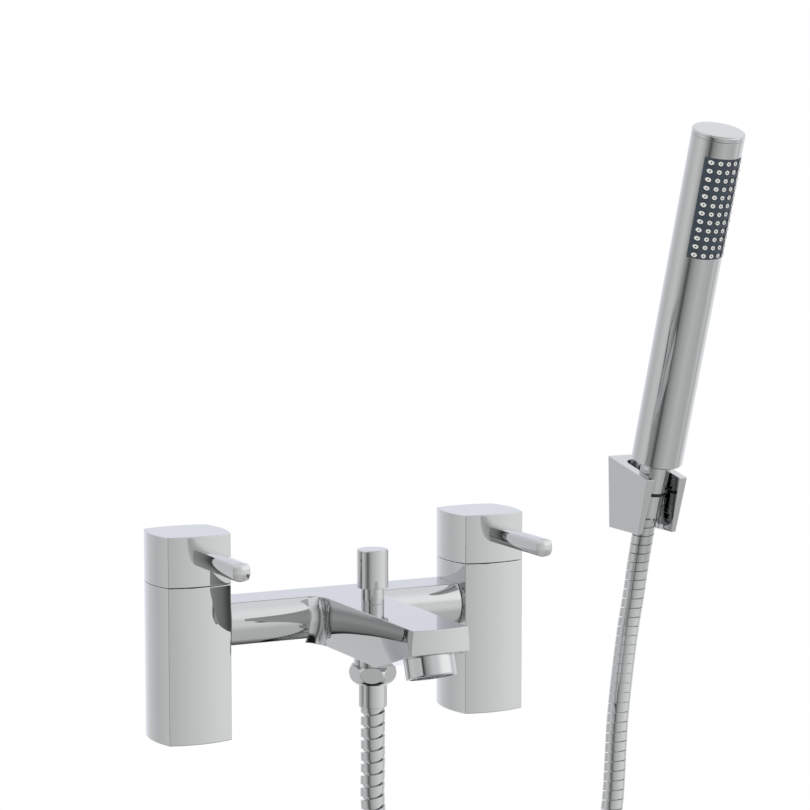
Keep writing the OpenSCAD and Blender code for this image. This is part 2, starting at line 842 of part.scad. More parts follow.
// the three stretches of the hose, from the mixer to the handset's sleeve
coil_half = coil_turns / 2 * coil_pitch;
function coil_place(u, w, z) = coil_centre
    + [u * cos(coil_turn) - w * sin(coil_turn), u * sin(coil_turn) + w * cos(coil_turn), z];
coil_start = coil_place(-coil_radius, -coil_half, coil_lead);
coil_end = coil_place(coil_radius, coil_half, coil_lead);
function drop_place(share, z) = [share * coil_start[0],
    share * coil_start[1] - (1 - share) * diverter_reach, z];
drop_path = smooth(concat([drop_place(0, hose_start)],
    [for (p = drop_points) drop_place(p[0] / last(drop_points)[0], p[1])]));
function toward_coil(p) = let (share = max(0, min(1, (-80 - p[2]) / 100)))
    p + share * [coil_end[0] - last(rise_points)[0], coil_end[1] - last(rise_points)[1], 0];
handset_way = [0, -sin(handset_lean), cos(handset_lean)];
sleeve_end = handset_foot + (hose_end - lift_clearance) * handset_way;
rise_path = smooth(concat([sleeve_end, sleeve_end - straight_end * handset_way],
    [for (p = rise_points) toward_coil(p)]));
coil_path = concat([coil_start],
    [for (turn = [0 : 5 : coil_turns * 360]) coil_place(coil_radius * cos(180 + turn),
        turn / 360 * coil_pitch - coil_half, coil_radius * sin(180 + turn))],
    [coil_end]);
coil_axis = [-sin(coil_turn), cos(coil_turn), 0];

// ribbed tube along a path: two rings to a rib, and a plain bore
module ribbed_tube(path, side_way) {
    run = lengths(path);
    length = last(run);
    table = tables(path, run);
    ribs = floor(length / rib_pitch);
    rings = 2 * ribs;
    steps = [for (i = [0 : rings]) length * i / rings];
    bores = [for (i = [0 : bore_rings : rings - bore_rings / 2]) i];
    inner = concat(bores, [rings]);
    function way(s) = unit(place(table, min(s + 0.5, length)) - place(table, max(s - 0.5, 0)));
    function ring_points(s, radius) = let (t = way(s), a = unit(cross(t, side_way)), b = cross(a, t),
        middle = place(table, s)) [for (k = [0 : hose_sides - 1])
            middle + radius * (cos(360 * k / hose_sides) * a + sin(360 * k / hose_sides) * b)];
    outer_points = [for (i = [0 : rings]) each
        ring_points(steps[i], i % 2 == 0 ? hose_radius : hose_groove)];
    inner_points = [for (i = inner) each ring_points(steps[i], hose_bore)];
    first = len(outer_points);
    function skin(start, count, flip) = [for (i = [0 : count - 2], k = [0 : hose_sides - 1], half = [0, 1])
        let (n = (k + 1) % hose_sides, a = start + i * hose_sides + k, b = start + i * hose_sides + n,
            c = a + hose_sides, d = b + hose_sides,
            face = half == 0 ? [a, b, d] : [a, d, c]) flip ? [face[2], face[1], face[0]] : face];
    function end_face(outer, inward, flip) = [for (k = [0 : hose_sides - 1], half = [0, 1])
        let (n = (k + 1) % hose_sides, face = half == 0 ? [outer + k, inward + k, inward + n]
            : [outer + k, inward + n, outer + n]) flip ? [face[2], face[1], face[0]] : face];
    last_outer = rings * hose_sides;
    last_inner = first + (len(inner) - 1) * hose_sides;
    polyhedron(points = concat(outer_points, inner_points), faces = concat(
        skin(0, rings + 1, true), skin(first, len(inner), false),
        end_face(0, first, true), end_face(last_outer, last_inner, false)));
}

module hose_drop() {
    color(chrome) ribbed_tube(drop_path, [0, 1, 0]);
}

module hose_coil() {
    color(chrome) ribbed_tube(coil_path, coil_axis);
}

module hose_rise() {
    color(chrome) ribbed_tube(rise_path, [0, 1, 0]);
}

// strap round the turns at the foot of the coil
module hose_tie() {
    clear = 0.6;
    module loop(grow) {
        union() {
            square([2 * coil_pitch, 2 * (hose_radius + clear + grow)], center = true);
            for (side = [-1, 1]) translate([side * coil_pitch, 0])
                circle(r = hose_radius + clear + grow);
        }
    }
    color(rubber) at_coil() translate([-tie_width / 2, 0, -coil_radius]) rotate([90, 0, 90]) difference() {
        linear_extrude(tie_width) loop(tie_thickness);
        translate([0, 0, -e]) linear_extrude(tie_width + 2 * e) loop(0);
    }
}

// length of the hose and its least gap to itself, measured on points of its middle line
whole_path = concat(drop_path, coil_path, [for (i = [len(rise_path) - 1 : -1 : 0]) rise_path[i]]);
whole_run = lengths(whole_path);
whole_table = tables(whole_path, whole_run);
gap_points = [for (s = [0 : gap_step : last(whole_run)]) place(whole_table, s)];
near_steps = ceil(6 * hose_radius / gap_step);
least_gap = min([for (i = [0 : len(gap_points) - 1], j = [i + near_steps : 1 : len(gap_points) - 1])
    norm(gap_points[j] - gap_points[i])]) - 2 * hose_radius;
echo(str("length of the hose ", last(whole_run), " mm"));
echo(str("ribs of the hose ", floor(last(lengths(drop_path)) / rib_pitch)
    + floor(last(lengths(coil_path)) / rib_pitch) + floor(last(lengths(rise_path)) / rib_pitch)));
echo(str("least gap of the hose to itself ", least_gap, " mm"));

// Swivel at the handset's end of the hose

module hose_sleeve() {
    color(chrome) at_handset() difference() {
        union() {
            rod(sleeve_radius, hose_end, sleeve_top);
            rod(swivel_tail, sleeve_top - e, flange_foot + e);
            rod(inlet_stub, flange_foot, flange_foot + swivel_flange);
        }
        rod(sleeve_bore, hose_end - e, stub_end);
    }
}

module swivel_ring_seal() {
    color(rubber) at_handset() ring(swivel_foot_radius - 0.1, swivel_tail + running, sleeve_top + running,
        swivel_foot);
}

module swivel_nut() {
    lip_top = flange_foot - running;
    color(chrome) at_handset() difference() {
        translate([0, 0, swivel_foot])
            cylinder(r1 = swivel_foot_radius, r2 = swivel_top_radius, h = swivel_length);
        rod(swivel_tail + running, swivel_foot - e, lip_top + e);
        rod(inlet_stub + snug + 0.05, lip_top, e);
    }
}

module swivel_washer_seal() {
    color(rubber) at_handset() ring(inlet_stub, inlet_bore, stub_end - swivel_washer + running, stub_end);
}

// Handset

module handset_inlet() {
    color(brass) at_handset() difference() {
        union() {
            rod(inlet_stub, stub_end, base_plate + e);
            rod(inlet_stub + 3, base_plate, base_plate + 2);
            rod(inlet_spout, base_plate + 1, base_plate + 8);
        }
        rod(inlet_bore, stub_end - e, base_plate + 8 + e);
    }
}

module handset_waterway() {
    color(plastic) at_handset() ring(inlet_spout + 1.6, inlet_spout + snug, base_plate + 2, chamber_bottom);
}

module handset_tube() {
    color(chrome) at_handset() difference() {
        rotate_extrude() translate([0, tube_top]) mirror([0, 1]) rounded_section(handset_radius, tube_top, 0.8);
        rod(handset_bore, base_plate, tube_top + e);
        rod(inlet_stub + snug, -e, base_plate + e);
        pie(pad_half_angle + 0.2, 2 * handset_radius, pad_bottom - snug, pad_top + snug);
    }
}

module handset_end_cap() {
    color(chrome) at_handset() union() {
        translate([0, 0, tube_top + cap_seam]) rotate_extrude()
            rounded_section(handset_radius, end_cap_height - cap_seam, 1.2);
        difference() {
            rod(handset_bore - snug, tube_top - 5, tube_top + e);
            rod(handset_bore - 2, tube_top - 5 - e, tube_top);
        }
    }
}

// core behind the spray pad that shares the water out to its nozzles
module spray_chamber() {
    color(plastic) at_handset() difference() {
        rod(core_radius, chamber_bottom, chamber_roof);
        rod(inlet_spout + snug, chamber_bottom - e, pad_bottom + 8);
        translate([0, 0, pad_bottom + 4]) rotate([90, 0, 0]) cylinder(r = 3.5, h = handset_radius);
        difference() {
            pie(pad_half_angle - 6, 2 * handset_radius, pad_bottom + 1.5, pad_top - 1.5);
            rod(core_radius - 3, pad_bottom, pad_top);
        }
    }
}

module spray_pad() {
    first_row = (pad_top + pad_bottom - nozzle_step * (nozzle_rows - 1)) / 2;
    color(slate) at_handset() difference() {
        union() {
            intersection() {
                ring(handset_radius, handset_bore, pad_bottom, pad_top);
                pie(pad_half_angle, 2 * handset_radius, pad_bottom, pad_top);
            }
            intersection() {
                nozzles(first_row, nozzle_radius);
                ring(handset_radius + nozzle_height, handset_radius - 0.8, pad_bottom, pad_top);
            }
        }
        nozzles(first_row, nozzle_bore);
    }
}

// a rod for each nozzle, all square to the middle of the pad
module nozzles(first_row, radius) {
    for (row = [0 : nozzle_rows - 1], column = [0 : nozzle_columns - 1])
        translate([(column - (nozzle_columns - 1) / 2) * nozzle_step_across, 0, first_row + row * nozzle_step])
            rotate([90, 0, 0]) cylinder(r = radius, h = 2 * handset_radius, $fn = 16);
}

// Wall bracket

// Y and Z of a place in front of the handset's axis and along it
function beside(front, along) = [
    handset_foot[1] - front * cos(handset_lean) - along * sin(handset_lean),
    handset_foot[2] - front * sin(handset_lean) + along * cos(handset_lean)];

module bracket_block() {
    front_top = beside(bracket_front, -bracket_drop);
    front_foot = beside(bracket_front, -bracket_drop - bracket_length);
    back_top = front_top[1] + bracket_rise;
    taper = bracket_taper * (front_top[1] - front_foot[1]);
    crown = bracket_taper * bracket_rise;
    intersection() {
        translate([handset_foot[0] - 2 * bracket_half_width, 0, 0]) rotate([90, 0, 90])
            linear_extrude(4 * bracket_half_width) polygon([[wall_distance, back_top], front_top, front_foot,
                [wall_distance, front_foot[1]]]);
        translate([handset_foot[0], wall_distance + e, 0]) rotate([90, 0, 0]) linear_extrude(2 * wall_distance)
            polygon([[-bracket_half_width - crown, back_top], [bracket_half_width + crown, back_top],
                [bracket_half_width - taper, front_foot[1]], [taper - bracket_half_width, front_foot[1]]]);
    }
}

module wall_bracket() {
    top = 6;
    foot = -bracket_drop - bracket_length - 20;
    draft = (swivel_top_radius - swivel_foot_radius) / swivel_length;
    screw = beside(0, -bracket_drop - bracket_length * 0.7);
    bracket_edge = beside(bracket_front, -bracket_drop)[1];
    notch_depth = 8;
    color(chrome) difference() {
        bracket_block();
        at_handset() {
            // tapered seat for the swivel nut, and a wider bore below it
            translate([0, 0, relief_top - e]) cylinder(
                r1 = swivel_foot_radius + seat_clearance - draft * (swivel_foot - relief_top + e),
                r2 = swivel_foot_radius + seat_clearance + draft * (top - swivel_foot), h = top - relief_top + e);
            rod(relief_radius, foot, relief_top);
            // slot that lets the hose out, wider at its foot
            rotate([90, 0, 0]) linear_extrude(2 * bracket_front) polygon([
                [-slot_half_width + 0.5, top], [slot_half_width - 0.5, top],
                [slot_half_width + slot_widening + 0.9, foot], [-slot_half_width - slot_widening - 0.9, foot]]);
        }
        // notch behind the nut, open at the top, with a round end
        translate([handset_foot[0], wall_distance - notch_wall - slot_half_width, bracket_edge - notch_depth])
            linear_extrude(wall_distance) union() {
                circle(r = slot_half_width);
                translate([-slot_half_width, -bracket_front]) square([2 * slot_half_width, bracket_front]);
            }
        // screw hole through to the wall, with a countersink
        translate([handset_foot[0], screw[0], screw[1]]) rotate([-90, 0, 0]) union() {
            cylinder(r = screw_hole, h = wall_distance);
            translate([0, 0, relief_radius - e]) cylinder(r1 = 2 * screw_hole, r2 = screw_hole, h = 2 * e + 2);
        }
    }
}
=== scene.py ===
"""Finishes, hose and studio of a deck mounted bath shower mixer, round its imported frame."""

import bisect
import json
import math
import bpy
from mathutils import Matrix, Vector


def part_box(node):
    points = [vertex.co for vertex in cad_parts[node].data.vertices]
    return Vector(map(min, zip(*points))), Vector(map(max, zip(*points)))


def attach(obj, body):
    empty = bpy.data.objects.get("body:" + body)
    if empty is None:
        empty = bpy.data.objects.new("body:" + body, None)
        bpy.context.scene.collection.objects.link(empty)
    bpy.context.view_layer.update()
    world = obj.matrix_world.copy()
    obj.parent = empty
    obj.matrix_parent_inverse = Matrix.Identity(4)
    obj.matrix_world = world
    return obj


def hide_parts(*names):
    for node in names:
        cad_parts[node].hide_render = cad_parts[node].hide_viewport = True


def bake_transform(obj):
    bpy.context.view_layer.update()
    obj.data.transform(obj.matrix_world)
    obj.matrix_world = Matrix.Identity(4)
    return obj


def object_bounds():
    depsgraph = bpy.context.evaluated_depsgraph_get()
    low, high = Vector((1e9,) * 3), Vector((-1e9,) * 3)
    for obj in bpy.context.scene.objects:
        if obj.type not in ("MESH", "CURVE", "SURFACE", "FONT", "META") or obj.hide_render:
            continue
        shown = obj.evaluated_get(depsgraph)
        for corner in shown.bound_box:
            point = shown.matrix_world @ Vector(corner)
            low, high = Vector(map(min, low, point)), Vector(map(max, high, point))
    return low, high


bl_info = {
    "name": "Bath shower mixer",
    "version": (1, 0, 0),
    "blender": (4, 5, 0),
    "location": "3D View > Sidebar > Mixer",
    "description": "Finishes, hose and studio of a deck mounted bath shower mixer",
    "category": "Object",
}

import bpy
from mathutils import Vector

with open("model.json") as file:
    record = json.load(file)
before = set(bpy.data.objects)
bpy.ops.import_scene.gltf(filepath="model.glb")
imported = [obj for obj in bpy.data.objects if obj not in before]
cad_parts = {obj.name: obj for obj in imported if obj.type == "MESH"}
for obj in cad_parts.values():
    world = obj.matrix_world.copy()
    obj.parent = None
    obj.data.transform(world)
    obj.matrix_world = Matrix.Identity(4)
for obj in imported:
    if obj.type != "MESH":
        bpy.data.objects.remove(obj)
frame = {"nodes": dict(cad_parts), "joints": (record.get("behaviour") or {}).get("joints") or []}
CAD_BOX = [list(corner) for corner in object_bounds()]
NODES = frame["nodes"]
JOINTS = {joint["name"]: joint for joint in frame["joints"]}

MM = 0.001
SHARP_EDGE = math.radians(40)  # faces that meet at more than this keep a sharp edge
CAST_EDGE = 0.7 * MM  # rounding that buffing leaves on a casting's edges
TURNED_EDGE = 0.3 * MM  # and on those of a turned piece

# the handset's foot and the way its axis points, from the joint that it spins on
HANDSET_FOOT = Vector(JOINTS["handset_spin"]["pos_m"])
HANDSET_WAY = Vector(JOINTS["handset_spin"]["axis"])

# route of the hose in metres: the drop's X and Z, the coil, and the rise from handset to coil
DROP_ROUTE = [
    (0, 0.004), (0, -0.014), (0, -0.038), (0.0038, -0.062), (0.0142, -0.085), (0.0285, -0.109),
    (0.0428, -0.133), (0.0532, -0.156), (0.057, -0.18), (0.057, -0.1866),
]
RISE_ROUTE = [
    (0.2229, 0.0432, 0.068), (0.2208, 0.0454, 0.046), (0.2166, 0.046, 0.0196), (0.2075, 0.0405, -0.0276),
    (0.202, 0.0368, -0.08), (0.1952, 0.0364, -0.105), (0.1837, 0.036, -0.13), (0.1728, 0.0358, -0.155),
    (0.1692, 0.0357, -0.168), (0.168, 0.0357, -0.18),
]
SLEEVE_REACH = 0.0357  # from the handset's foot down its axis to the end of the hose's sleeve
STRAIGHT_END = 0.0108  # straight run of the hose below that sleeve
# the coil stands on edge, and its heading is the turn of its plane from the X axis
COIL_CENTRE = Vector((0.1125, -0.006, -0.2))
COIL_RADIUS = 0.067
COIL_PITCH = 0.0144
COIL_HEADING = math.radians(21.9)
COIL_TURNS = 2.5
COIL_LEAD = 0.0134  # height over the coil's centre at which the hose enters and leaves it
COIL_STEPS = 72  # points of the route in one turn
LINE_STEP = 1 * MM  # between points of the hose's middle line
BORE_RINGS = 240  # lengths that the hose's bore is made of

# the strip is pulled open over the first share of the hose's length, and closes up over the second
OPEN_SHARE = 0.15
CLOSING_SHARE = 0.5

# the nozzles' rims turn pale between these heights over the spray pad's face
RIM_START = 0.25 * MM
RIM_END = 0.6 * MM

# grey screens of the studio by their turn from the front, in degrees: minus is to the left
EYE_LEVEL_SCREENS = [
    (-180, "#cccdd4"), (-160, "#bebec0"), (-140, "#b4b4b5"), (-108, "#c6c6c6"), (-90, "#b6b6b6"),
    (-75, "#8c8c8c"), (-60, "#545454"), (-50, "#8a8a8a"), (-30, "#b0b0b0"), (5, "#c6c6c6"),
    (48, "#dadada"), (74, "#dcdcdc"), (89, "#b8b8b8"), (108, "#d6d6d8"), (142, "#cacad2"), (180, "#cccdd4"),
]
LOW_SCREENS = [
    (-180, "#bebec1"), (-140, "#b4b4b5"), (-100, "#c0c0c0"), (-75, "#888888"), (-60, "#484848"),
    (-50, "#808080"), (-30, "#a0a0a0"), (8, "#b8b8b8"), (57, "#aaaaaa"), (78, "#bcbcbc"),
    (88, "#aaaaaa"), (112, "#d4d4d6"), (154, "#d4d5da"), (180, "#bebec1"),
]
HIGH_SCREENS = [
    (-180, "#c8c9d2"), (-110, "#bcbcc0"), (-68, "#c0c0c0"), (-61, "#202020"), (-48, "#8c8c8c"),
    (-15, "#b8b8b8"), (10, "#c6c6c6"), (30, "#f0f0f0"), (70, "#f4f4f4"), (95, "#cccccd"),
    (145, "#c8c9d2"), (180, "#c8c9d2"),
]
CEILING_GREY = "#d8d8db"
UNDERSIDE_GREY = "#181818"  # dark straight below, as under a mixer on its deck
SHADE_GREY = "#747476"  # front half of the ceiling, over the camera
SCREEN_STRENGTH = 1.6  # of the screens, for what mirrors them
PLAIN_STRENGTH = 0.7  # of the even light on everything else

# heights at which the studio turns from one grey to the next, as the Z of a way of length one
LOW_FADE = (-0.2, -0.5)
UNDERSIDE_FADE = (-0.8, -0.92)
HIGH_FADE = (0.0, 0.15)
CEILING_FADE = (0.25, 0.6)
SHADE_FADE = (0.72, 0.82)
SHADE_FRONT = 0.1  # how far forward a way points, of one, where that shade is full

FLOOR_SIDES = 96
FLOOR_GAP = 2 * MM  # between the lowest point of the hose and the floor
FLOOR_FADE = (0.35, 0.95)  # shares of the floor's radius over which it turns white

CAST_NODES = ["left_pillar", "right_pillar", "left_cap", "right_cap", "bridge_body", "wall_bracket"]
TURNED_NODES = [
    "left_lever", "right_lever", "diverter_collar", "diverter_knob", "aerator_housing", "hose_nut",
    "hose_ferrule", "hose_sleeve", "swivel_nut", "handset_tube", "handset_end_cap", "shower_outlet",
]
BRASS_NODES = [
    "left_valve_body", "right_valve_body", "left_spindle", "right_spindle", "diverter_rod",
    "diverter_plug", "handset_inlet",
]
RUBBER_NODES = [
    "left_base_seal", "right_base_seal", "left_valve_seal", "right_valve_seal", "left_spindle_ring",
    "right_spindle_ring", "diverter_ring", "diverter_lower_seal", "diverter_upper_seal",
    "aerator_washer", "hose_washer", "swivel_ring_seal", "swivel_washer_seal",
]
CERAMIC_NODES = ["left_fixed_disc", "right_fixed_disc", "left_moving_disc", "right_moving_disc"]
PLASTIC_NODES = ["aerator_insert", "handset_waterway", "spray_chamber"]
SCREW_NODES = ["left_grub_screw", "right_grub_screw"]


# Shared helpers


def linear(code):
    """Linear RGBA of an sRGB hex colour such as #c0c0c4."""
    channels = [int(code[i : i + 2], 16) / 255 for i in (1, 3, 5)]
    return tuple(c / 12.92 if c <= 0.04045 else ((c + 0.055) / 1.055) ** 2.4 for c in channels) + (1.0,)


def add_node(tree, kind, inputs=None, **settings):
    """A shader node with its settings; inputs maps a socket's name or number to a value or a link."""
    made = tree.nodes.new(kind)
    for name, value in settings.items():
        setattr(made, name, value)
    for key, value in (inputs or {}).items():
        if isinstance(value, bpy.types.NodeSocket):
            tree.links.new(value, made.inputs[key])
        else:
            made.inputs[key].default_value = value
    return made


def new_material(name):
    """An empty node material, its tree and its surface output."""
    material = bpy.data.materials.new(name)
    material.use_nodes = True
    material.node_tree.nodes.clear()
    output = add_node(material.node_tree, "ShaderNodeOutputMaterial")
    return material, material.node_tree, output.inputs["Surface"]


def fill_ramp(ramp, stops):
    """Sets a colour ramp's stops from (position, hex colour) pairs."""
    elements = ramp.color_ramp.elements
    while len(elements) > 1:
        elements.remove(elements[-1])
    elements[0].position, elements[0].color = stops[0][0], linear(stops[0][1])
    for position, code in stops[1:]:
        elements.new(position).color = linear(code)


def dress(names, material):
    """Gives CAD nodes one material."""
    for name in names:
        slots = NODES[name].data.materials
        slots.clear()
        slots.append(material)


def new_piece(name, points, faces, material):
    """A mesh object of points and faces in the row frame, smooth apart from its sharp edges."""
    mesh = bpy.data.meshes.new(name)
    mesh.from_pydata(points, [], faces)
    mesh.validate()
    mesh.polygons.foreach_set("use_smooth", [True] * len(mesh.polygons))
    mesh.set_sharp_from_angle(angle=SHARP_EDGE)
    mesh.materials.append(material)
    made = bpy.data.objects.new(name, mesh)
    bpy.context.scene.collection.objects.link(made)
    return made


def smooth_curve(points, steps=12):
    """Points on the smooth curve through the given points."""
    known = [Vector(p) for p in points]
    known = [2 * known[0] - known[1]] + known + [2 * known[-1] - known[-2]]
    curve = []
    for a, b, c, d in zip(known, known[1:], known[2:], known[3:]):
        for k in range(steps):
            t = k / steps
            place = 2 * b + (c - a) * t
            place += (2 * a - 5 * b + 4 * c - d) * t**2
            place += (3 * b - a - 3 * c + d) * t**3
            curve.append(0.5 * place)
    return curve + [known[-2]]


def ease(value):
    """Smooth step from 0 to 1."""
    value = min(1.0, max(0.0, value))
    return value * value * (3 - 2 * value)


# Sizes and colours that a user would change


class HoseSizes(bpy.types.PropertyGroup):
    """Strip-wound hose: sizes at its mixer end and at its handset end."""

    radius: bpy.props.FloatProperty(
        name="Radius", description="Outer radius over the strip", default=6.7 * MM, unit="LENGTH"
    )
    bore: bpy.props.FloatProperty(
        name="Bore", description="Radius of the bore", default=4 * MM, unit="LENGTH"
    )
    mixer_pitch: bpy.props.FloatProperty(
        name="Pitch at mixer", description="Length of one turn, pulled open",
        default=6.63 * MM, unit="LENGTH"
    )
    handset_pitch: bpy.props.FloatProperty(
        name="Pitch at handset", description="Length of one turn, closed up",
        default=5.9 * MM, unit="LENGTH"
    )
    mixer_share: bpy.props.FloatProperty(
        name="Strip share at mixer", description="Share of a turn that is strip",
        default=0.7, subtype="FACTOR"
    )
    handset_share: bpy.props.FloatProperty(
        name="Strip share at handset", description="Share of a turn that is strip",
        default=0.9, subtype="FACTOR"
    )
    mixer_depth: bpy.props.FloatProperty(
        name="Groove at mixer", description="Depth of the groove", default=1.3 * MM, unit="LENGTH"
    )
    handset_depth: bpy.props.FloatProperty(
        name="Groove at handset", description="Depth of the groove", default=0.5 * MM, unit="LENGTH"
    )
    mixer_slot: bpy.props.FloatProperty(
        name="Slot at mixer", description="Share of a turn that is open between turns",
        default=0.09, subtype="FACTOR"
    )
    handset_slot: bpy.props.FloatProperty(
        name="Slot at handset", description="Share of a turn that is open between turns",
        default=0.08, subtype="FACTOR"
    )
    slot_depth: bpy.props.FloatProperty(
        name="Slot depth", description="Depth of the slot between turns", default=2.4 * MM, unit="LENGTH"
    )
    cuff: bpy.props.FloatProperty(
        name="Cuff", description="Plain length at each end", default=0.4 * MM, unit="LENGTH"
    )
    start_angle: bpy.props.FloatProperty(
        name="Start", description="Turn from the back at which the winding starts",
        default=math.radians(100), unit="ROTATION"
    )
    sides: bpy.props.IntProperty(name="Sides", description="Steps round one turn", default=20)


class StrapSizes(bpy.types.PropertyGroup):
    """Strap that holds the coil."""

    width: bpy.props.FloatProperty(
        name="Width", description="Width along the hose", default=12 * MM, unit="LENGTH"
    )
    thickness: bpy.props.FloatProperty(
        name="Thickness", description="Thickness of the strap", default=1.5 * MM, unit="LENGTH"
    )
    clearance: bpy.props.FloatProperty(
        name="Clearance", description="Gap round the turns", default=0.6 * MM, unit="LENGTH"
    )


class Finishes(bpy.types.PropertyGroup):
    """Colours of the mixer's materials, in linear light."""

    chrome: bpy.props.FloatVectorProperty(
        name="Chrome", description="Polished chrome plate", subtype="COLOR", size=4,
        default=linear("#c3c5c5")
    )
    strip: bpy.props.FloatVectorProperty(
        name="Strip steel", description="Strip of the hose", subtype="COLOR", size=4,
        default=linear("#bfc1c1")
    )
    brass: bpy.props.FloatVectorProperty(
        name="Brass", description="Bare machined brass", subtype="COLOR", size=4,
        default=linear("#c9a35a")
    )
    rubber: bpy.props.FloatVectorProperty(
        name="Rubber", description="Black sealing rubber", subtype="COLOR", size=4,
        default=linear("#1c1c1e")
    )
    pad: bpy.props.FloatVectorProperty(
        name="Spray pad", description="Slate silicone of the pad", subtype="COLOR", size=4,
        default=linear("#39434f")
    )
    nozzle: bpy.props.FloatVectorProperty(
        name="Nozzle rims", description="Rubbed tips of the nozzles", subtype="COLOR", size=4,
        default=linear("#e8e8e4")
    )
    ceramic: bpy.props.FloatVectorProperty(
        name="Ceramic", description="Ground valve discs", subtype="COLOR", size=4,
        default=linear("#efece4")
    )
    plastic: bpy.props.FloatVectorProperty(
        name="Plastic", description="Moulded inner pieces", subtype="COLOR", size=4,
        default=linear("#9da1a6")
    )


class StudioSettings(bpy.types.PropertyGroup):
    """Camera, floor and lamp."""

    azimuth: bpy.props.FloatProperty(
        name="Azimuth", description="Turn of the camera to the left of the front",
        default=math.radians(26.26), unit="ROTATION"
    )
    elevation: bpy.props.FloatProperty(
        name="Elevation", description="Height of the camera above level",
        default=math.radians(6.3), unit="ROTATION"
    )
    distance: bpy.props.FloatProperty(
        name="Distance", description="From the camera to what it looks at", default=1.535, unit="LENGTH"
    )
    target: bpy.props.FloatVectorProperty(
        name="Target", description="Point that the camera looks at", size=3, subtype="TRANSLATION",
        default=(0.0425, 0, 0.1765)
    )
    lens: bpy.props.FloatProperty(
        name="Lens", description="Focal length on a 36 mm sensor", default=121.1, unit="CAMERA"
    )
    floor_radius: bpy.props.FloatProperty(
        name="Floor", description="Radius of the pale floor", default=0.7, unit="LENGTH"
    )
    softbox_size: bpy.props.FloatProperty(
        name="Softbox", description="Side of the square softbox", default=1.6, unit="LENGTH"
    )
    softbox_power: bpy.props.FloatProperty(
        name="Softbox power", description="Power of the softbox in watts", default=14, unit="POWER"
    )
    softbox_place: bpy.props.FloatVectorProperty(
        name="Softbox place", description="Place of the softbox from the object's middle", size=3,
        subtype="TRANSLATION", default=(-0.5, -1.0, 1.6)
    )


# Materials


def polished_chrome(settings, name, edge_radius):
    """Decorative chrome plate on buffed brass: mirror bright, with the faint waviness of hand buffing."""
    material, tree, surface = new_material(name)
    place = add_node(tree, "ShaderNodeTexCoord").outputs["Object"]
    # buffing leaves soft waves about 12 mm long, far too shallow to see except in a mirror
    waves = add_node(tree, "ShaderNodeTexNoise", {"Vector": place, "Scale": 1 / (12 * MM), "Detail": 1.0})
    haze = add_node(
        tree, "ShaderNodeMapRange", {"Value": waves.outputs["Fac"], "To Min": 0.01, "To Max": 0.022}
    )
    # buffing also rounds every edge
    edge = add_node(tree, "ShaderNodeBevel", {"Radius": edge_radius}, samples=16)
    bump = add_node(
        tree,
        "ShaderNodeBump",
        {
            "Height": waves.outputs["Fac"],
            "Strength": 0.012,
            "Distance": 0.2 * MM,
            "Normal": edge.outputs[0],
        },
    )
    shader = add_node(
        tree,
        "ShaderNodeBsdfPrincipled",
        {
            "Base Color": settings.chrome,
            "Metallic": 1.0,
            "Roughness": haze.outputs["Result"],
            "Normal": bump.outputs["Normal"],
        },
    )
    tree.links.new(shader.outputs[0], surface)
    return material


def strip_wound_steel(settings):
    """Bright rolled steel strip: nearly as bright as the chrome, and finely scuffed."""
    material, tree, surface = new_material("strip_wound_steel")
    place = add_node(tree, "ShaderNodeTexCoord").outputs["Object"]
    # scuffs about 3 mm apart from rubbing on the bath
    scuffs = add_node(tree, "ShaderNodeTexNoise", {"Vector": place, "Scale": 1 / (3 * MM), "Detail": 3.0})
    rough = add_node(
        tree, "ShaderNodeMapRange", {"Value": scuffs.outputs["Fac"], "To Min": 0.03, "To Max": 0.07}
    )
    # rolling leaves the strip's edges just off sharp
    edge = add_node(tree, "ShaderNodeBevel", {"Radius": 0.1 * MM}, samples=8)
    shader = add_node(
        tree,
        "ShaderNodeBsdfPrincipled",
        {
            "Base Color": settings.strip,
            "Metallic": 1.0,
            "Roughness": rough.outputs["Result"],
            "Normal": edge.outputs[0],
        },
    )
    tree.links.new(shader.outputs[0], surface)
    return material


def machined_brass(settings):
    """Bare turned brass: warm metal with fine rings from the lathe and a dull bloom."""
    material, tree, surface = new_material("machined_brass")
    place = add_node(tree, "ShaderNodeTexCoord").outputs["Object"]
    # lathe rings, drawn 0.6 mm apart so that they show; the node counts 20 radians to one unit
    ring_gap = 0.6 * MM
    rings = add_node(
        tree,
        "ShaderNodeTexWave",
        {"Vector": place, "Scale": 2 * math.pi / (20 * ring_gap), "Distortion": 0.4},
        bands_direction="Z",
    )
    bloom = add_node(tree, "ShaderNodeTexNoise", {"Vector": place, "Scale": 1 / (5 * MM), "Detail": 4.0})
    rough = add_node(
        tree, "ShaderNodeMapRange", {"Value": bloom.outputs["Fac"], "To Min": 0.22, "To Max": 0.4}
    )
    bump = add_node(
        tree, "ShaderNodeBump", {"Height": rings.outputs["Fac"], "Strength": 0.2, "Distance": 0.05 * MM}
    )
    shader = add_node(
        tree,
        "ShaderNodeBsdfPrincipled",
        {
            "Base Color": settings.brass,
            "Metallic": 1.0,
            "Roughness": rough.outputs["Result"],
            "Normal": bump.outputs["Normal"],
        },
    )
    tree.links.new(shader.outputs[0], surface)
    return material


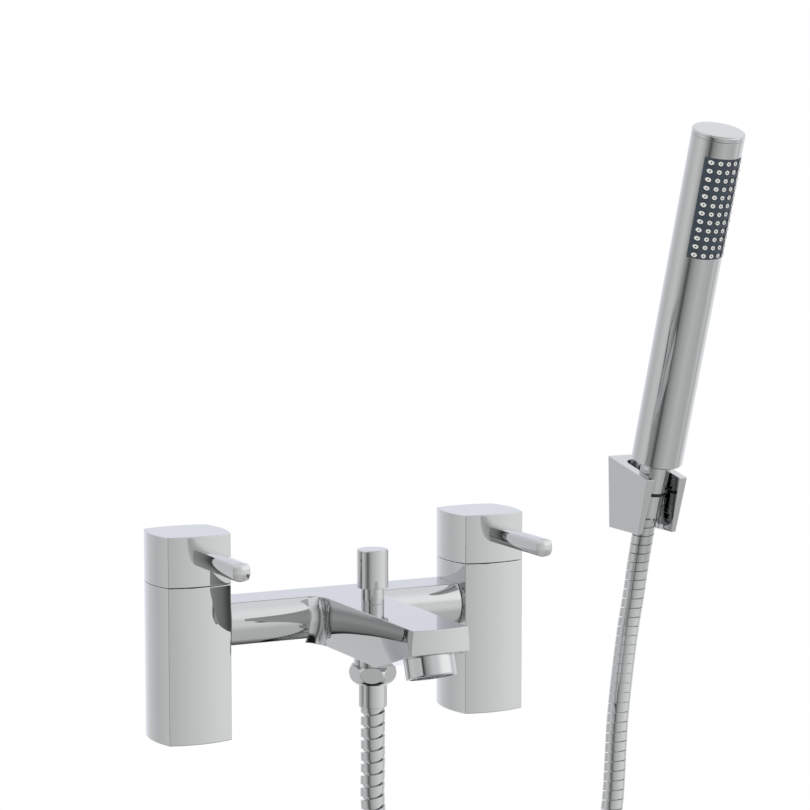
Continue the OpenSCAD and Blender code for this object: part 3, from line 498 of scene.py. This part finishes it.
def moulded(name, colour, grain, rough_low, rough_high, depth, tint):
    """Moulded or ground non-metal: a fine grain, and a colour that drifts a little over it."""
    material, tree, surface = new_material(name)
    place = add_node(tree, "ShaderNodeTexCoord").outputs["Object"]
    fine = add_node(tree, "ShaderNodeTexNoise", {"Vector": place, "Scale": 1 / grain, "Detail": 4.0})
    # the colour drifts over patches of about 20 grains
    patch = 20 * grain
    broad = add_node(tree, "ShaderNodeTexNoise", {"Vector": place, "Scale": 1 / patch, "Detail": 2.0})
    rough = add_node(
        tree,
        "ShaderNodeMapRange",
        {"Value": fine.outputs["Fac"], "To Min": rough_low, "To Max": rough_high},
    )
    shade = add_node(
        tree, "ShaderNodeMapRange", {"Value": broad.outputs["Fac"], "To Min": 1 - tint, "To Max": 1 + tint}
    )
    drift = add_node(
        tree, "ShaderNodeHueSaturation", {"Color": colour, "Value": shade.outputs["Result"]}
    )
    bump = add_node(
        tree, "ShaderNodeBump", {"Height": fine.outputs["Fac"], "Strength": 0.3, "Distance": depth}
    )
    shader = add_node(
        tree,
        "ShaderNodeBsdfPrincipled",
        {
            "Base Color": drift.outputs["Color"],
            "Roughness": rough.outputs["Result"],
            "Normal": bump.outputs["Normal"],
        },
    )
    tree.links.new(shader.outputs[0], surface)
    return material


def sealing_rubber(settings):
    """Black nitrile rubber: matte, with a fine moulded grain."""
    return moulded(
        "nitrile_rubber", settings.rubber,
        grain=0.4 * MM, rough_low=0.55, rough_high=0.75, depth=0.05 * MM, tint=0.15,
    )


def ground_ceramic(settings):
    """Alumina disc, ground flat: pale and smooth with a soft gloss."""
    return moulded(
        "ground_alumina", settings.ceramic,
        grain=0.8 * MM, rough_low=0.18, rough_high=0.3, depth=0.01 * MM, tint=0.04,
    )


def moulded_plastic(settings):
    """Acetal, moulded: grey and satin with a fine grain."""
    return moulded(
        "moulded_acetal", settings.plastic,
        grain=0.5 * MM, rough_low=0.35, rough_high=0.5, depth=0.02 * MM, tint=0.06,
    )


def screw_steel(settings):
    """Zinc plated steel of the grub screws: grey satin metal."""
    material, tree, surface = new_material("zinc_plated_steel")
    place = add_node(tree, "ShaderNodeTexCoord").outputs["Object"]
    # plating spangle, about 0.8 mm across
    grain = add_node(tree, "ShaderNodeTexNoise", {"Vector": place, "Scale": 1 / (0.8 * MM), "Detail": 3.0})
    rough = add_node(
        tree, "ShaderNodeMapRange", {"Value": grain.outputs["Fac"], "To Min": 0.25, "To Max": 0.45}
    )
    shader = add_node(
        tree,
        "ShaderNodeBsdfPrincipled",
        {"Base Color": settings.strip, "Metallic": 1.0, "Roughness": rough.outputs["Result"]},
    )
    tree.links.new(shader.outputs[0], surface)
    return material


def spray_silicone(settings, face_radius):
    """Slate silicone of the spray pad: satin, with the rims of the nozzles rubbed pale."""
    material, tree, surface = new_material("spray_silicone")
    place = add_node(tree, "ShaderNodeTexCoord").outputs["Object"]
    # distance from the handset's axis tells the nozzles' rims from the pad's face
    arm = add_node(tree, "ShaderNodeVectorMath", {0: place, 1: HANDSET_FOOT}, operation="SUBTRACT")
    reach = add_node(
        tree, "ShaderNodeVectorMath", {0: arm.outputs[0], 1: HANDSET_WAY}, operation="CROSS_PRODUCT"
    )
    radius = add_node(tree, "ShaderNodeVectorMath", {0: reach.outputs[0]}, operation="LENGTH")
    rim = add_node(
        tree,
        "ShaderNodeMapRange",
        {
            "Value": radius.outputs["Value"],
            "From Min": face_radius + RIM_START,
            "From Max": face_radius + RIM_END,
        },
    )
    # moulded grain, about 0.5 mm across
    fine = add_node(tree, "ShaderNodeTexNoise", {"Vector": place, "Scale": 1 / (0.5 * MM), "Detail": 3.0})
    rough = add_node(
        tree, "ShaderNodeMapRange", {"Value": fine.outputs["Fac"], "To Min": 0.4, "To Max": 0.55}
    )
    colour = add_node(
        tree,
        "ShaderNodeMix",
        {"Factor": rim.outputs["Result"], "A": settings.pad, "B": settings.nozzle},
        data_type="RGBA",
    )
    shader = add_node(
        tree,
        "ShaderNodeBsdfPrincipled",
        {"Base Color": colour.outputs["Result"], "Roughness": rough.outputs["Result"]},
    )
    tree.links.new(shader.outputs[0], surface)
    return material


# Hose


def coil_place(u, w, z):
    """A point of the coil from its own three directions."""
    c, s = math.cos(COIL_HEADING), math.sin(COIL_HEADING)
    return COIL_CENTRE + Vector((u * c - w * s, u * s + w * c, z))


def hose_path():
    """Points of the hose's middle line, from the mixer's ferrule to the handset's sleeve."""
    low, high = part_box("hose_ferrule")
    start = Vector(((low.x + high.x) / 2, (low.y + high.y) / 2, low.z))
    half = COIL_TURNS / 2 * COIL_PITCH
    coil_start = coil_place(-COIL_RADIUS, -half, COIL_LEAD)
    coil_end = coil_place(COIL_RADIUS, half, COIL_LEAD)
    drop = [start]
    for x, z in DROP_ROUTE:
        share = x / DROP_ROUTE[-1][0]
        drop.append((share * coil_start.x, start.y + share * (coil_start.y - start.y), z))
    coil = [
        coil_place(
            COIL_RADIUS * math.cos(math.pi + turn * 2 * math.pi),
            turn * COIL_PITCH - half,
            COIL_RADIUS * math.sin(math.pi + turn * 2 * math.pi),
        )
        for turn in [k / COIL_STEPS for k in range(int(COIL_TURNS * COIL_STEPS) + 1)]
    ]
    sleeve_end = HANDSET_FOOT - SLEEVE_REACH * HANDSET_WAY
    straight_end = sleeve_end - STRAIGHT_END * HANDSET_WAY
    rise = smooth_curve([sleeve_end, straight_end] + RISE_ROUTE + [coil_end])
    return smooth_curve(drop)[:-1] + [coil_start] + coil + list(reversed(rise))


class Line:
    """A line through points with a frame carried along it without twist."""

    def __init__(self, points, step):
        run = [0.0]
        for a, b in zip(points, points[1:]):
            run.append(run[-1] + (b - a).length)
        self.length = run[-1]
        count = int(self.length / step) + 1
        self.step = self.length / count
        self.points = []
        for k in range(count + 1):
            s = min(k * self.step, self.length)
            i = min(max(bisect.bisect_right(run, s) - 1, 0), len(points) - 2)
            self.points.append(points[i].lerp(points[i + 1], (s - run[i]) / max(run[i + 1] - run[i], 1e-9)))
        ways = [(b - a).normalized() for a, b in zip(self.points, self.points[1:])]
        ways.append(ways[-1])
        # the hose sets out downward, so the way to the back lies across it
        across = Vector((0, 1, 0))
        self.frames = []
        for before, way in zip([ways[0]] + ways, ways):
            across = before.rotation_difference(way) @ across
            across = (across - across.dot(way) * way).normalized()
            self.frames.append((across, way.cross(across)))

    def at(self, s, angle, radius):
        """Point at a distance along the line, an angle round it and a radius from it."""
        place = min(max(s / self.step, 0.0), len(self.points) - 1.001)
        i = int(place)
        t = place - i
        across = self.frames[i][0].lerp(self.frames[i + 1][0], t)
        beside = self.frames[i][1].lerp(self.frames[i + 1][1], t)
        middle = self.points[i].lerp(self.points[i + 1], t)
        return middle + radius * (math.cos(angle) * across + math.sin(angle) * beside)


def strip_hose(line, sizes):
    """Points and faces of a hose wound from one strip, with plain cuffs at its ends and a bore."""
    sides = sizes.sides

    def share_along(s):
        # the mixer's stretch is pulled open, the handset's is closed up, and the coil lies between
        return ease((s / line.length - OPEN_SHARE) / CLOSING_SHARE)

    def between(s, a, b):
        return a + (b - a) * share_along(s)

    # number of turns up to each distance, and the distance for a number of turns
    fine = line.step
    marks = [sizes.cuff]
    turns = [0.0]
    while marks[-1] + fine < line.length - sizes.cuff:
        turns.append(turns[-1] + fine / between(marks[-1], sizes.mixer_pitch, sizes.handset_pitch))
        marks.append(marks[-1] + fine)

    def distance(turn):
        i = min(max(bisect.bisect_right(turns, turn) - 1, 0), len(turns) - 2)
        return marks[i] + (turn - turns[i]) * (marks[i + 1] - marks[i]) / (turns[i + 1] - turns[i])

    # the winding is drawn to a whole number of turns and room, as a share of a turn, for the last groove
    last_groove = 0.15
    whole_turns = int(turns[-1] - last_groove)
    drawn = (whole_turns + last_groove) / turns[-1]
    turns = [turn * drawn for turn in turns]
    wall = 0.005  # share of a turn over which a wall of the groove leans
    points, faces = [], []

    def ring(s, radius):
        first = len(points)
        points.extend(line.at(s, 2 * math.pi * j / sides + sizes.start_angle, radius) for j in range(sides))
        return first

    def band(first, second):
        for j in range(sides):
            k = (j + 1) % sides
            faces.append((first + j, first + k, second + k, second + j))

    # outer wall: six points across each turn's groove and slot, wound round the line, then the strip
    start = ring(0.0, sizes.radius)
    cuff_start = ring(sizes.cuff / 2, sizes.radius)
    band(start, cuff_start)
    first = len(points)
    across = 6
    for i in range(whole_turns * sides + 1):
        turn = i / sides
        s = distance(turn)
        groove = 1 - between(s, sizes.mixer_share, sizes.handset_share)
        slot = groove - between(s, sizes.mixer_slot, sizes.handset_slot)
        depth = between(s, sizes.mixer_depth, sizes.handset_depth)
        profile = [
            (0.0, 0.0), (wall, depth), (slot, depth), (slot + wall, sizes.slot_depth),
            (groove - wall, sizes.slot_depth), (groove, 0.0),
        ]
        for offset, sink in profile:
            angle = 2 * math.pi * turn + sizes.start_angle
            points.append(line.at(distance(turn + offset), angle, sizes.radius - sink))

    def at(i, k):
        return first + i * across + k

    last = whole_turns * sides
    for i in range(last):
        for k in range(across - 1):
            faces.append((at(i, k), at(i + 1, k), at(i + 1, k + 1), at(i, k + 1)))
        if i + sides <= last - 1:
            faces.append((at(i, across - 1), at(i + 1, across - 1), at(i + 1 + sides, 0), at(i + sides, 0)))
    # the strip's first turn closes against the cuff
    for j in range(sides - 1):
        faces.append((cuff_start + j, cuff_start + j + 1, at(j + 1, 0), at(j, 0)))
    faces.append(
        [cuff_start + sides - 1, cuff_start]
        + [at(0, k) for k in range(across)]
        + [at(sides, 0), at(sides - 1, 0)]
    )
    # and its last turn against the other cuff
    end_gap = last - sides
    cuff_end = ring(marks[-1], sizes.radius)
    end = ring(line.length, sizes.radius)
    for j in range(sides - 1):
        i = end_gap + j
        faces.append((at(i, across - 1), at(i + 1, across - 1), cuff_end + j + 1, cuff_end + j))
    faces.append(
        [at(last - 1, across - 1)]
        + [at(last, k) for k in range(across - 1, -1, -1)]
        + [at(end_gap, across - 1), cuff_end, cuff_end + sides - 1]
    )
    band(cuff_end, end)
    # bore and the flat ends
    bores = [ring(line.length * k / BORE_RINGS, sizes.bore) for k in range(BORE_RINGS + 1)]
    for a, b in zip(bores, bores[1:]):
        band(b, a)
    band(bores[0], start)
    band(end, bores[-1])
    return points, faces


class MIXER_OT_hose(bpy.types.Operator):
    """Winds the hose along its route, from the mixer through its coil to the handset"""

    bl_idname = "mixer.hose"
    bl_label = "Hose"

    def execute(self, context):
        sizes = context.scene.mixer_hose
        line = Line(hose_path(), LINE_STEP)
        points, faces = strip_hose(line, sizes)
        hose = new_piece("hose", points, faces, strip_wound_steel(context.scene.mixer_finishes))
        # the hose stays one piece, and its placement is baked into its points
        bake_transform(hose)
        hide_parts("hose_drop", "hose_coil", "hose_rise")
        return {"FINISHED"}


class MIXER_OT_strap(bpy.types.Operator):
    """Makes the rubber strap round the foot of the coil"""

    bl_idname = "mixer.strap"
    bl_label = "Coil strap"

    def execute(self, context):
        strap = context.scene.mixer_strap
        inner = context.scene.mixer_hose.radius + strap.clearance
        outer = inner + strap.thickness
        edge = strap.thickness / 3
        half = strap.width / 2
        section = [
            (-half + edge, inner), (half - edge, inner), (half, inner + edge), (half, outer - edge),
            (half - edge, outer), (-half + edge, outer), (-half, outer - edge), (-half, inner + edge),
        ]
        # round both outer turns and straight across the middle one
        arc = 16
        spine = []
        for side in (1, -1):
            for k in range(arc + 1):
                angle = math.pi * (0.5 - k / arc) if side > 0 else math.pi * (-0.5 - k / arc)
                spine.append((side * COIL_PITCH, angle))
        points = []
        for shift, angle in spine:
            for u, radius in section:
                w = shift + radius * math.cos(angle)
                points.append(coil_place(u, w, radius * math.sin(angle) - COIL_RADIUS))
        count, rows = len(section), len(spine)
        faces = [
            (i * count + k, (i + 1) % rows * count + k, (i + 1) % rows * count + (k + 1) % count,
             i * count + (k + 1) % count)
            for i in range(rows)
            for k in range(count)
        ]
        made = new_piece("coil_strap", points, faces, sealing_rubber(context.scene.mixer_finishes))
        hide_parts("hose_tie")
        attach(made, "mixer")
        return {"FINISHED"}


# Finishes of the pieces that are kept


class MIXER_OT_metalwork(bpy.types.Operator):
    """Plates the castings, levers, knob, nuts, handset and bracket with chrome"""

    bl_idname = "mixer.metalwork"
    bl_label = "Chrome metalwork"

    def execute(self, context):
        finishes = context.scene.mixer_finishes
        dress(CAST_NODES, polished_chrome(finishes, "chrome_plated_casting", CAST_EDGE))
        dress(TURNED_NODES, polished_chrome(finishes, "chrome_plated_turning", TURNED_EDGE))
        return {"FINISHED"}


class MIXER_OT_inner_pieces(bpy.types.Operator):
    """Finishes the brass, rubber, ceramic, plastic and steel pieces"""

    bl_idname = "mixer.inner_pieces"
    bl_label = "Inner pieces"

    def execute(self, context):
        finishes = context.scene.mixer_finishes
        dress(BRASS_NODES, machined_brass(finishes))
        dress(RUBBER_NODES, sealing_rubber(finishes))
        dress(CERAMIC_NODES, ground_ceramic(finishes))
        dress(PLASTIC_NODES, moulded_plastic(finishes))
        dress(SCREW_NODES, screw_steel(finishes))
        return {"FINISHED"}


class MIXER_OT_spray_pad(bpy.types.Operator):
    """Finishes the spray pad and the rims of its nozzles"""

    bl_idname = "mixer.spray_pad"
    bl_label = "Spray pad"

    def execute(self, context):
        low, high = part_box("handset_tube")
        dress(["spray_pad"], spray_silicone(context.scene.mixer_finishes, (high.x - low.x) / 2))
        return {"FINISHED"}


# Stage


def studio_world():
    """Soft studio: graded screens for what mirrors it, plain light for the rest, white for the camera."""
    world = bpy.data.worlds.new("studio")
    world.use_nodes = True
    tree = world.node_tree
    tree.nodes.clear()
    way = add_node(tree, "ShaderNodeTexCoord").outputs["Generated"]
    axes = add_node(tree, "ShaderNodeSeparateXYZ", {0: way})
    ahead = add_node(tree, "ShaderNodeMath", {0: axes.outputs["Y"], 1: -1.0}, operation="MULTIPLY")
    turn = add_node(
        tree, "ShaderNodeMath", {0: axes.outputs["X"], 1: ahead.outputs[0]}, operation="ARCTAN2"
    )
    round_share = add_node(
        tree,
        "ShaderNodeMapRange",
        {"Value": turn.outputs[0], "From Min": -math.pi, "From Max": math.pi},
    )
    # three rows of screens, from behind past the left, front and right to behind again
    bands = []
    for screens in (EYE_LEVEL_SCREENS, LOW_SCREENS, HIGH_SCREENS):
        ramp = add_node(tree, "ShaderNodeValToRGB", {0: round_share.outputs["Result"]})
        fill_ramp(ramp, [((degrees + 180) / 360, code) for degrees, code in screens])
        bands.append(ramp.outputs["Color"])
    heights = [
        add_node(
            tree,
            "ShaderNodeMapRange",
            {"Value": axes.outputs["Z"], "From Min": low, "From Max": high},
            interpolation_type="SMOOTHSTEP",
        ).outputs["Result"]
        for low, high in (LOW_FADE, UNDERSIDE_FADE, HIGH_FADE, CEILING_FADE)
    ]
    room, low_band, high_band = bands
    for height, band in zip(heights, (low_band, linear(UNDERSIDE_GREY), high_band, linear(CEILING_GREY))):
        room = add_node(
            tree, "ShaderNodeMix", {"Factor": height, "A": room, "B": band}, data_type="RGBA"
        ).outputs["Result"]
    # the front half of the ceiling, over the camera, lies in shade
    over = add_node(
        tree,
        "ShaderNodeMapRange",
        {"Value": axes.outputs["Z"], "From Min": SHADE_FADE[0], "From Max": SHADE_FADE[1]},
        interpolation_type="SMOOTHSTEP",
    )
    front = add_node(
        tree,
        "ShaderNodeMapRange",
        {"Value": ahead.outputs[0], "From Max": SHADE_FRONT, "To Max": over.outputs["Result"]},
    )
    room = add_node(
        tree,
        "ShaderNodeMix",
        {"Factor": front.outputs["Result"], "A": room, "B": linear(SHADE_GREY)},
        data_type="RGBA",
    ).outputs["Result"]
    path = add_node(tree, "ShaderNodeLightPath")
    mirrored = add_node(tree, "ShaderNodeBackground", {"Color": room, "Strength": SCREEN_STRENGTH})
    plain = add_node(tree, "ShaderNodeBackground", {"Color": linear("#ffffff"), "Strength": PLAIN_STRENGTH})
    white = add_node(tree, "ShaderNodeBackground", {"Color": linear("#ffffff"), "Strength": 1.0})
    light = add_node(
        tree,
        "ShaderNodeMixShader",
        {0: path.outputs["Is Glossy Ray"], 1: plain.outputs[0], 2: mirrored.outputs[0]},
    )
    seen = add_node(
        tree,
        "ShaderNodeMixShader",
        {0: path.outputs["Is Camera Ray"], 1: light.outputs[0], 2: white.outputs[0]},
    )
    add_node(tree, "ShaderNodeOutputWorld", {"Surface": seen.outputs[0]})
    return world


def pale_floor(radius):
    """White painted board: matte, and lost in the white of the studio toward its edge."""
    material, tree, surface = new_material("white_board")
    place = add_node(tree, "ShaderNodeTexCoord").outputs["Object"]
    distance = add_node(tree, "ShaderNodeVectorMath", {0: place}, operation="LENGTH")
    fade = add_node(
        tree,
        "ShaderNodeMapRange",
        {
            "Value": distance.outputs["Value"],
            "From Min": FLOOR_FADE[0] * radius,
            "From Max": FLOOR_FADE[1] * radius,
        },
        interpolation_type="SMOOTHSTEP",
    )
    board = add_node(tree, "ShaderNodeBsdfDiffuse", {"Color": linear("#f6f6f7")})
    glow = add_node(tree, "ShaderNodeEmission", {"Color": linear("#ffffff"), "Strength": 1.0})
    path = add_node(tree, "ShaderNodeLightPath")
    seen = add_node(
        tree,
        "ShaderNodeMath",
        {0: fade.outputs["Result"], 1: path.outputs["Is Camera Ray"]},
        operation="MULTIPLY",
    )
    both = add_node(
        tree, "ShaderNodeMixShader", {0: seen.outputs[0], 1: board.outputs[0], 2: glow.outputs[0]}
    )
    tree.links.new(both.outputs[0], surface)
    return material


class MIXER_OT_camera(bpy.types.Operator):
    """Sets the camera at the photographed view"""

    bl_idname = "mixer.camera"
    bl_label = "Camera"

    def execute(self, context):
        studio = context.scene.mixer_studio
        a, e = studio.azimuth, studio.elevation
        back = Vector((-math.sin(a) * math.cos(e), -math.cos(a) * math.cos(e), math.sin(e)))
        data = bpy.data.cameras.new("camera")
        data.sensor_width = 36
        data.lens = studio.lens
        camera = bpy.data.objects.new("camera", data)
        camera.location = Vector(studio.target) + studio.distance * back
        camera.rotation_euler = (-back).to_track_quat("-Z", "Y").to_euler()
        context.scene.collection.objects.link(camera)
        context.scene.camera = camera
        return {"FINISHED"}


class MIXER_OT_stage(bpy.types.Operator):
    """Sets the pale floor, the studio round the object and its soft lamp"""

    bl_idname = "mixer.stage"
    bl_label = "Stage"

    def execute(self, context):
        scene = context.scene
        studio = scene.mixer_studio
        scene.view_settings.view_transform = "Standard"
        scene.world = studio_world()
        low, high = (Vector(corner) for corner in CAD_BOX)
        middle = (low + high) / 2
        angles = [2 * math.pi * k / FLOOR_SIDES for k in range(FLOOR_SIDES)]
        ring = [(studio.floor_radius * math.cos(a), studio.floor_radius * math.sin(a), 0) for a in angles]
        floor = new_piece("floor", ring, [list(range(FLOOR_SIDES))], pale_floor(studio.floor_radius))
        floor.location = (middle.x, middle.y, low.z - FLOOR_GAP)
        floor.visible_glossy = False
        lamp = bpy.data.lights.new("overhead_softbox", "AREA")
        lamp.shape = "RECTANGLE"
        lamp.size = studio.softbox_size
        lamp.size_y = studio.softbox_size
        lamp.energy = studio.softbox_power
        box = bpy.data.objects.new("overhead_softbox", lamp)
        box.location = middle + Vector(studio.softbox_place)
        box.rotation_euler = (middle - box.location).to_track_quat("-Z", "Y").to_euler()
        box.visible_glossy = False
        scene.collection.objects.link(box)
        return {"FINISHED"}


class MIXER_PT_panel(bpy.types.Panel):
    """Steps and sizes of the mixer"""

    bl_idname = "MIXER_PT_panel"
    bl_label = "Bath shower mixer"
    bl_space_type = "VIEW_3D"
    bl_region_type = "UI"
    bl_category = "Mixer"

    def draw(self, context):
        for operator in OPERATORS:
            self.layout.operator(operator.bl_idname)
        for group in GROUPS:
            settings = getattr(context.scene, group)
            box = self.layout.box()
            for name in settings.bl_rna.properties.keys():
                if name not in ("rna_type", "name"):
                    box.prop(settings, name)


GROUPS = {
    "mixer_hose": HoseSizes,
    "mixer_strap": StrapSizes,
    "mixer_finishes": Finishes,
    "mixer_studio": StudioSettings,
}
OPERATORS = [
    MIXER_OT_camera, MIXER_OT_strap, MIXER_OT_hose, MIXER_OT_metalwork, MIXER_OT_inner_pieces,
    MIXER_OT_spray_pad, MIXER_OT_stage,
]


def register():
    for group, kind in GROUPS.items():
        bpy.utils.register_class(kind)
        setattr(bpy.types.Scene, group, bpy.props.PointerProperty(type=kind))
    for kind in OPERATORS + [MIXER_PT_panel]:
        bpy.utils.register_class(kind)


def unregister():
    for kind in reversed(OPERATORS + [MIXER_PT_panel]):
        bpy.utils.unregister_class(kind)
    for group, kind in GROUPS.items():
        delattr(bpy.types.Scene, group)
        bpy.utils.unregister_class(kind)


def main():
    register()
    for operator in OPERATORS:
        family, name = operator.bl_idname.split(".")
        getattr(getattr(bpy.ops, family), name)()


if __name__ == "__main__":
    main()
